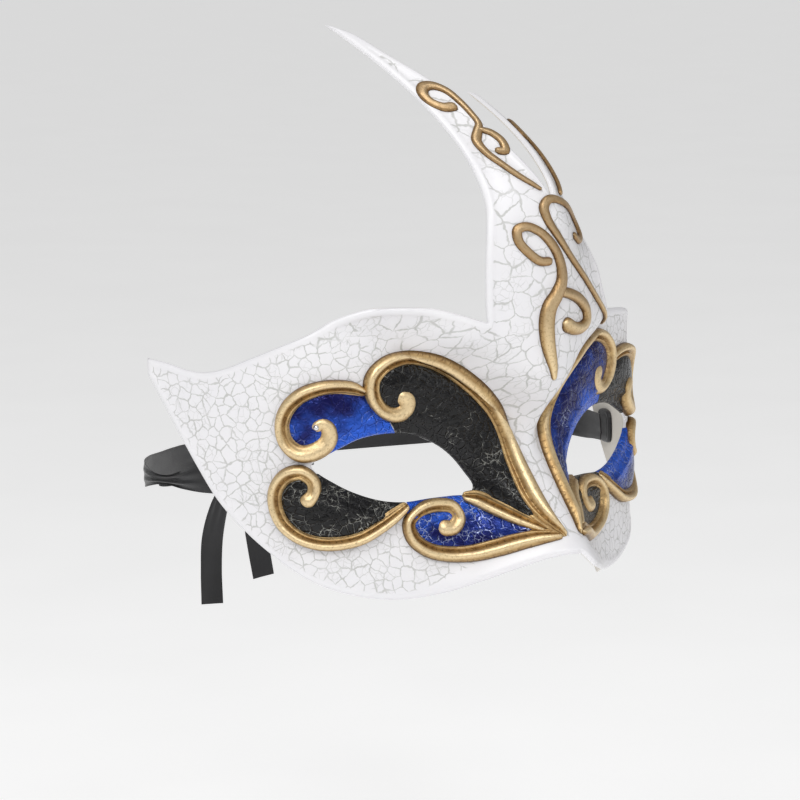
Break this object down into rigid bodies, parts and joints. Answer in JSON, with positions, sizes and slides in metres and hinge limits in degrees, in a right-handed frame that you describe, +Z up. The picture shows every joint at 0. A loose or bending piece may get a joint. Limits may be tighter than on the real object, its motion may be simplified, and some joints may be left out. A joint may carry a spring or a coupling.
{
  "type": "venetian masquerade mask",
  "caption": "Half mask with an asymmetric two-horned crest, raised gilt scrolls and enamel fields round the eyes, tied behind the head with a flat ribbon.",
  "frame": {"origin": "on the median plane, level with the bridge of the nose and just behind it, where the wearer's face meets the mask", "axes": "+X towards the wearer's left, -Y ahead of the face, +Z up"},
  "size_m": [0.1818, 0.1717, 0.1965],
  "materials": {
    "white_crackle_shell": "white satin lacquer with fine grey crackle",
    "gold_relief": "moulded plastic relief painted antique gold, brown in the hollows",
    "black_enamel": "glossy black paint with fine crackle",
    "blue_enamel": "glossy metallic blue paint with fine crackle",
    "silver_bead": "silvered bead",
    "black_satin_ribbon": "black satin ribbon"
  },
  "bodies": {
    "mask": {"crest_curl_right": "gold_relief", "crest_scroll_right": "gold_relief", "crook_scroll": "gold_relief", "enamel_lower_inner_left": "black_enamel", "enamel_lower_inner_right": "blue_enamel", "enamel_lower_outer_left": "blue_enamel", "enamel_lower_outer_right": "black_enamel", "enamel_upper_inner_left": "blue_enamel", "enamel_upper_inner_right": "black_enamel", "enamel_upper_outer_left": "black_enamel", "enamel_upper_outer_right": "blue_enamel", "horn_curl_right": "gold_relief", "horn_scroll_left": "gold_relief", "horn_scroll_right": "gold_relief", "mask_shell": "white_crackle_shell", "ribbon_tab_left": "black_satin_ribbon", "ribbon_tab_right": "black_satin_ribbon", "scroll_leaf_left": "gold_relief", "scroll_leaf_right": "gold_relief", "scroll_lower_inner_left": "gold_relief", "scroll_lower_inner_right": "gold_relief", "scroll_lower_outer_left": "gold_relief", "scroll_lower_outer_right": "gold_relief", "scroll_upper_inner_left": "gold_relief", "scroll_upper_inner_right": "gold_relief", "scroll_upper_outer_left": "gold_relief", "scroll_upper_outer_right": "gold_relief", "silver_bead": "silver_bead"},
    "strap": {"bow_loop_left": "black_satin_ribbon", "bow_loop_right": "black_satin_ribbon", "ribbon_knot": "black_satin_ribbon", "ribbon_left": "black_satin_ribbon", "ribbon_right": "black_satin_ribbon", "ribbon_tail_left": "black_satin_ribbon", "ribbon_tail_right": "black_satin_ribbon"}
  },
  "joints": [
    {"name": "strap_swing", "type": "hinge", "parent": "mask", "child": "strap", "pos_m": [0, 0.046, -0.012], "axis": [1, 0, 0], "range_deg": [-35, 30]}
  ]
}
